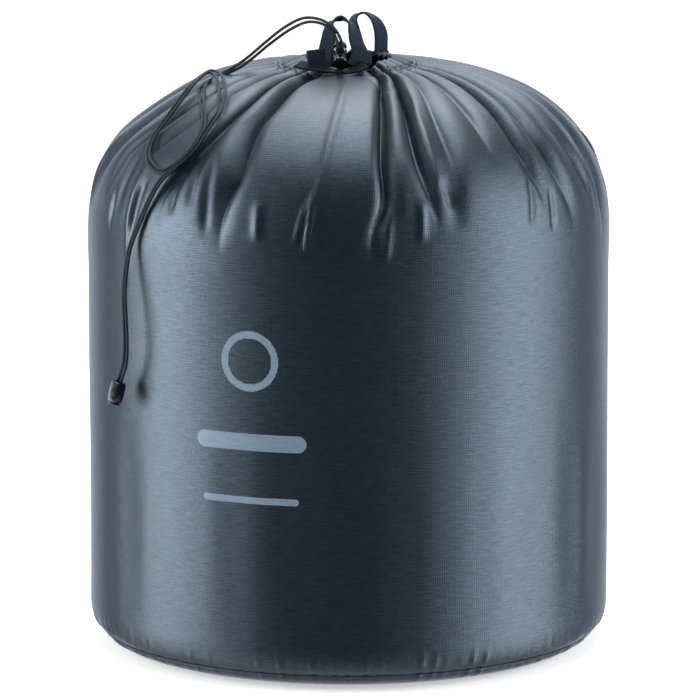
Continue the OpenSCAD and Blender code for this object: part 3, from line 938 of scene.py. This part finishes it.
def bevel_sharp(ob, width_mm, segments, angle):
    mod = ob.modifiers.new("bevel", "BEVEL")
    mod.width = width_mm * MM
    mod.segments = segments
    mod.limit_method = "ANGLE"
    mod.angle_limit = math.radians(angle)
    mod.harden_normals = False
    keep_result(ob)
    ob.data.polygons.foreach_set("use_smooth", [True] * len(ob.data.polygons))


LOCK_R = 3.5
BORE_R = 2.5
STEM_R = 2.4
barrel = lathe("lock_barrel_moulding", [
    (0, -7.0), (3.1, -7.0), (3.6, -6.85), (3.9, -6.55), (3.9, -6.1), (3.7, -5.85), (LOCK_R, -5.6),
    (3.42, -2.5), (LOCK_R, 1.1), (3.65, 1.3), (3.8, 1.55), (3.8, 2.0), (3.55, 2.25), (3.0, 2.3),
    (BORE_R, 2.15), (BORE_R, -6.0), (0, -6.0)], 72, LOCK_TURN)
cut_box(barrel, (0, 0, -1.05), (4.2, 20, 4.3), LOCK_TURN, 0.9)
finish_piece(barrel, M_LOCK, "lock", "lock_plastic", "lock_barrel")
plunger = lathe("lock_plunger_moulding", [
    (0, -2.4), (STEM_R - 0.2, -2.4), (STEM_R, -2.2), (STEM_R, 4.4), (3.3, 4.5), (3.6, 4.7), (3.6, 5.75),
    (3.3, 6.2), (2.8, 6.5), (2.1, 6.5), (1.8, 6.3), (0, 6.25)], 72, LOCK_TURN)
cut_box(plunger, (0, 0, 1.05), (3.8, 20, 4.3), LOCK_TURN, 0.6)
finish_piece(plunger, M_LOCK, "plunger", "lock_plastic", "lock_plunger")
SPRING_TURNS = 2.5
SPRING_R = 1.8
SPRING_LOW = -5.74
SPRING_RISE = 3.08
spring_path = []
for i in range(120):
    a = 2 * math.pi * SPRING_TURNS * i / 119
    z = SPRING_LOW + SPRING_RISE * i / 119
    q = Vector((SPRING_R * math.cos(a) * MM, SPRING_R * math.sin(a) * MM, z * MM))
    spring_path.append((LOCK_TURN @ q) / MM)
spring = tube("lock_spring_wire", np.array(spring_path), 0.2, 8)
finish_piece(spring, M_STEEL, "lock", "spring_steel", "lock_spring")

# ---- cord end
END_LEAN = math.radians(14)
END_H = 11.0
END_TURN = (Matrix.Translation(Vector(END_TOP) * MM) @ Matrix.Rotation(END_LEAN, 4, "Y")
            @ Matrix.Translation((0, 0, -END_H * MM)))


def six_sided(name, rows_rz, place):
    """A six-sided moulding from (corner radius, z) rows, closed at both ends."""
    verts = []
    for r, z in rows_rz:
        verts += [(r * math.cos(math.radians(60 * k - 90)), r * math.sin(math.radians(60 * k - 90)), z)
                  for k in range(6)]
    n = len(rows_rz)
    ob = new_mesh(name, verts, grid_faces(n, 6, True) + end_faces(n, 6))
    ob.data.transform(place)
    return ob


end = six_sided("end_barrel_moulding", [
    (3.9, 0.05), (4.45, 0.9), (4.68, 2.6), (4.7, 5.5), (4.68, 8.4), (4.4, 10.2), (3.7, 10.95),
    (2.9, 11.0), (2.3, 10.8), (2.25, 8.2), (0.4, 8.1)], END_TURN)
bevel_sharp(end, 0.45, 3, 25)
finish_piece(end, M_END, "sack", "end_plastic", "end_barrel")
plug = six_sided("end_plug_moulding", [(3.2, -1.3), (3.55, -1.1), (3.6, -0.7), (3.45, -0.45), (3.0, -0.4),
                                     (3.0, 1.9)], END_TURN)
bevel_sharp(plug, 0.25, 2, 25)
finish_piece(plug, M_END, "cord_end_plug", "end_plastic", "end_plug")
# overhand knot: a small trefoil of cord
knot_path = []
for i in range(97):
    a = 2 * math.pi * i / 96
    q = Vector((math.sin(a) + 2 * math.sin(2 * a), math.cos(a) - 2 * math.cos(2 * a), -math.sin(3 * a)))
    knot_path.append(np.array((END_TURN @ (Vector((q.x * 0.62, q.y * 0.62, q.z * 0.8 + 5.0)) * MM))) / MM)
knot = tube("cord_knot_braid", np.array(knot_path), 0.75, 10)
finish_piece(knot, M_CORD, "sack", "cord", "cord_knot")

# ---- threads, seams and the hem's cord
def dashes(line, on, off, radius, sides=5):
    """Stitches: short sunk-ended lengths of thread along a line (mm)."""
    seg = np.linalg.norm(np.diff(line, axis=0), axis=1)
    at = np.concatenate([[0], np.cumsum(seg)])
    parts = []
    pos = 0.0
    while pos + on < at[-1]:
        k = np.linspace(pos, pos + on, 5)
        pts = np.stack([np.interp(k, at, line[:, c]) for c in range(3)], 1)
        t = tangents(pts)
        ring = []
        for i, q in enumerate(pts):
            side_v = unit(np.cross(t[i], [0.1, 0.2, 1.0]))
            up = np.cross(side_v, t[i])
            r = radius * (0.55 if i in (0, 4) else 1.0)
            sink = up * (radius * (0.9 if i in (0, 4) else 0.0))
            ring.append([q - sink + (side_v * math.cos(a) + up * math.sin(a)) * r
                         for a in (2 * math.pi * m / sides for m in range(sides))])
        v = [x for rr_ in ring for x in rr_]
        parts.append((v, grid_faces(5, sides, True) + end_faces(5, sides)))
        pos += on + off
    return parts


def cloth_line(grid, runs, at_run, lift_mm, wander):
    """The line along which a stitch row crosses every column of the cloth."""
    out = np.empty((COLS, 3))
    for c in range(COLS):
        a = at_run + wander[c]
        for k in range(3):
            out[c, k] = np.interp(a, runs, grid[:, c, k])
    out[:, 2] += lift_mm
    return np.vstack([out, out[:1]])


thread_parts = []
for at in STITCH_AT:
    thread_parts += dashes(cloth_line(upper[neck_row:], fine_run, at, 0.28, wobble), 2.0, 0.7, 0.24)
hem_thread = join_meshes("hem_stitch_thread", thread_parts)
finish_piece(hem_thread, M_THREAD, "sack", "thread", "hem_stitching")

HEM_CORD_R = 25.2
hem_cord = []
for i in range(181):
    a = math.radians(-80 + 314 * i / 180)
    hem_cord.append((HEM_CORD_R * math.cos(a), HEM_CORD_R * math.sin(a), 313.0))
ring_cord = tube("drawcord_in_hem_braid", np.array(hem_cord), CORD_D / 2, 10)
finish_piece(ring_cord, M_CORD, "sack", "cord", "drawcord_in_hem")

# lapped seam up the back, on the columns nearest the back of the sack
back_col = int(np.argmin(np.abs(wall_angle - math.pi)))
strip_cols = [back_col + k for k in range(-4, 5)]
keep_rows = [i for i in range(len(panel) - len(inner)) if panel[i, back_col, 2] > SEAM_H + 0.5]
strip = panel[keep_rows][:, strip_cols]
nrm = np.cross(np.gradient(strip, axis=1), np.gradient(strip, axis=0))
nrm /= np.linalg.norm(nrm, axis=2)[..., None]
flip = np.sign((nrm * strip).sum(axis=2).mean())
height = np.array([0.02, 0.42, 0.62, 0.66, 0.66, 0.66, 0.62, 0.42, 0.02])
strip = strip + nrm * flip * height[None, :, None]
seam_v = panel_run[keep_rows]
seam_u = np.array([cols_u[c] for c in strip_cols]) + 700
sf = grid_faces(len(strip), len(strip_cols), False)
seam = new_mesh("side_seam_cloth", strip.reshape(-1, 3), sf, grid_uv(seam_u, seam_v))
finish_piece(seam, M_CLOTH, "sack", "ripstop", "side_seam")
seam_threads = []
for j in (2, 6):
    line = strip[:, j] + (nrm[:, j] * flip) * 0.16
    seam_threads += dashes(line, 2.2, 0.8, 0.2)
# stitches of the base seam, round the outside
base_line = []
for c in range(COLS + 1):
    cc = c % COLS
    r = corner_r(SEAM_H) - 1.35 + pucker[cc] * 0.1
    base_line.append((r * math.sin(wall_angle[cc]), -r * math.cos(wall_angle[cc]), SEAM_H + 1.1))
seam_threads += dashes(np.array(base_line), 2.4, 0.9, 0.22)
seam_thread = join_meshes("seam_thread", seam_threads)
finish_piece(seam_thread, M_THREAD, "sack", "thread")

# seam allowance of the base, turned inside
ring_n = 240
seam_ring = []
for dr, z in ((-7, 8.2), (-3.5, 8.0), (-1.2, 7.7), (-0.4, 8.2), (-0.8, 8.9), (-3.5, 9.4), (-7, 9.6)):
    row = []
    for k in range(ring_n):
        a = 2 * math.pi * k / ring_n
        wob = 0.35 * math.sin(a * 61 + 1) + 0.25 * math.sin(a * 97)
        r = corner_r(SEAM_H) - 1.8 + dr
        row.append((r * math.sin(a), -r * math.cos(a), z + wob * (-dr / 7)))
    seam_ring.append(row)
allow = new_mesh("base_seam_cloth", [q for row in seam_ring for q in row], grid_faces(7, ring_n, True),
                 grid_uv([k * 3.5 for k in range(ring_n + 1)], [0, 3.5, 6, 7, 8, 11, 15]))
finish_piece(allow, M_BASE, "sack", "base_cloth", "base_seam")

# ---- printed mark: a ring and two bars
def printed(name, inside, s0, s1, z0, z1, step):
    """A thin print on the wall covering inside(s, z), s in mm round the wall from the front."""
    ns, nz = int((s1 - s0) / step) + 1, int((z1 - z0) / step) + 1
    ss, zs = np.linspace(s0, s1, ns), np.linspace(z0, z1, nz)
    idx, verts, f, uv = {}, [], [], []

    def vertex(i, j):
        if (i, j) not in idx:
            a = ss[i] / BODY_R
            d = Vector((math.sin(a), -math.cos(a), 0))
            hit = surface.ray_cast(d * 0.2 + Vector((0, 0, zs[j] * MM)), -d, 0.2)
            q = np.array(hit[0]) / MM + np.array(d) * 0.09
            idx[(i, j)] = len(verts)
            verts.append(q)
        return idx[(i, j)]

    for i in range(ns - 1):
        for j in range(nz - 1):
            if inside((ss[i] + ss[i + 1]) / 2, (zs[j] + zs[j + 1]) / 2):
                quad = [(i, j), (i + 1, j), (i + 1, j + 1), (i, j + 1)]
                f.append(tuple(vertex(*q) for q in quad))
                uv += [(ss[q[0]] + 440, zs[q[1]]) for q in quad]
    return new_mesh(name, verts, f, uv)


def bar(cs, cz, half_w, half_h):
    def inside(s_, z_):
        x = max(abs(s_ - cs) - (half_w - half_h), 0)
        return math.hypot(x, z_ - cz) < half_h
    return inside


MARK_S = -53.0


def ring(s_, z_):
    return 12.2 < math.hypot(s_ - MARK_S, z_ - 176) < 16.0


for name, inside, half_w, z0, z1, step in (
    ("mark_ring", ring, 17, 159, 193, 0.5),
    ("mark_bar_wide", bar(MARK_S, 133, 31, 4.6), 32, 128, 138, 0.5),
    ("mark_bar_thin", bar(MARK_S, 102, 27, 1.9), 28, 99, 105, 0.4),
):
    mark = printed(name, inside, MARK_S - half_w, MARK_S + half_w, z0, z1, step)
    finish_piece(mark, M_PRINT, "sack", "ripstop")

# ---- camera
cam_data = bpy.data.cameras.new("camera")
cam_data.lens = 363.6
cam_data.sensor_width = 36
cam_data.clip_end = 50
camera = bpy.data.objects.new("camera", cam_data)
bpy.context.scene.collection.objects.link(camera)
camera.location = (0.0008, -3.75, 0.866)
camera.rotation_euler = (math.radians(90 - 10.7), 0, 0)
bpy.context.scene.camera = camera


# ---- lights and floor
def area(name, at, aim, w, h, power):
    d = bpy.data.lights.new(name, "AREA")
    d.shape = "RECTANGLE"
    d.size, d.size_y = w, h
    d.energy = power
    o = bpy.data.objects.new(name, d)
    bpy.context.scene.collection.objects.link(o)
    o.location = at
    o.rotation_euler = (Vector(aim) - Vector(at)).to_track_quat("-Z", "Y").to_euler()


def around(angle, dist, z):
    a = math.radians(angle)
    return (dist * math.sin(a), -dist * math.cos(a), z)


MIDDLE = (0, 0, 0.17)
area("softbox_left", around(-84, 1.5, 0.22), MIDDLE, 0.95, 1.9, 31)
area("softbox_right", around(78, 1.5, 0.22), MIDDLE, 1.1, 1.9, 38)
area("softbox_top", (0.0, 0.42, 1.6), (0, 0.1, 0.3), 1.1, 1.9, 33)
area("key_left", around(-84, 1.6, 0.32), MIDDLE, 0.24, 0.24, 7)

world = bpy.data.worlds.new("studio")
bpy.context.scene.world = world
world.use_nodes = True
looks_at = node(world, "ShaderNodeSeparateXYZ")
link(world, node(world, "ShaderNodeTexCoord").outputs["Generated"], looks_at.inputs[0])
to_side = math_node(world, "ABSOLUTE", looks_at.outputs["X"])
to_floor = math_node(world, "MULTIPLY", looks_at.outputs["Z"], -1.0)
# what the glossy cloth mirrors: a bright far wall, a lit table below, and paler room at both sides
far_wall = node(world, "ShaderNodeValToRGB")
dark_end, bright_end = far_wall.color_ramp.elements
dark_end.position, dark_end.color = 0.86, (0.004, 0.004, 0.005, 1)
bright_end.position, bright_end.color = 0.95, (1.15, 1.28, 1.45, 1)
link(world, math_node(world, "MULTIPLY_ADD", looks_at.outputs["Y"], 0.5, 0.5), far_wall.inputs[0])


def glow(strength, *parts):
    value = parts[0]
    for part_of in parts[1:]:
        value = math_node(world, "MULTIPLY", value, part_of)
    return math_node(world, "MULTIPLY", value, strength)


low_sides = glow(2.2, soft_step(world, to_side, 0.5, 0.8), soft_step(world, to_floor, 0.42, 0.62))
upward = soft_step(world, looks_at.outputs["Z"], 0.2, 0.5)
high_sides = glow(0.42, soft_step(world, to_side, 0.3, 0.6), upward)
table = glow(0.55, soft_step(world, to_floor, 0.5, 0.8))
glows = math_node(world, "ADD", math_node(world, "ADD", low_sides, table), high_sides)
mirrored = node(world, "ShaderNodeVectorMath", operation="ADD")
link(world, far_wall.outputs[0], mirrored.inputs[0])
link(world, glows, mirrored.inputs[1])
ray = node(world, "ShaderNodeLightPath")
not_seen = node(world, "ShaderNodeMixRGB", Color1=(0.62, 0.62, 0.62, 1))
link(world, ray.outputs["Is Glossy Ray"], not_seen.inputs["Fac"])
link(world, mirrored.outputs[0], not_seen.inputs["Color2"])
seen = node(world, "ShaderNodeMixRGB", Color2=(1, 1, 1, 1))
link(world, ray.outputs["Is Camera Ray"], seen.inputs["Fac"])
link(world, not_seen.outputs[0], seen.inputs["Color1"])
background = world.node_tree.nodes["Background"]
link(world, seen.outputs[0], background.inputs["Color"])
background.inputs["Strength"].default_value = 1.0

floor_me = bpy.data.meshes.new("floor")
FLOOR_HALF = 6
FLOOR_Z = -0.0003
corners = [(x * FLOOR_HALF, y * FLOOR_HALF, FLOOR_Z) for x, y in ((-1, -1), (1, -1), (1, 1), (-1, 1))]
floor_me.from_pydata(corners, [], [(0, 1, 2, 3)])
floor = bpy.data.objects.new("floor", floor_me)
bpy.context.scene.collection.objects.link(floor)
fm = material("floor_white", (0.92, 0.92, 0.92), 0.7, specular=0.1)
fb = fm.node_tree.nodes["Principled BSDF"]
fb.inputs["Emission Color"].default_value = (1, 1, 1, 1)
fb.inputs["Emission Strength"].default_value = 0.42
floor_me.materials.append(fm)
floor.visible_glossy = False
floor.visible_shadow = False
bpy.context.scene.view_settings.view_transform = "Standard"
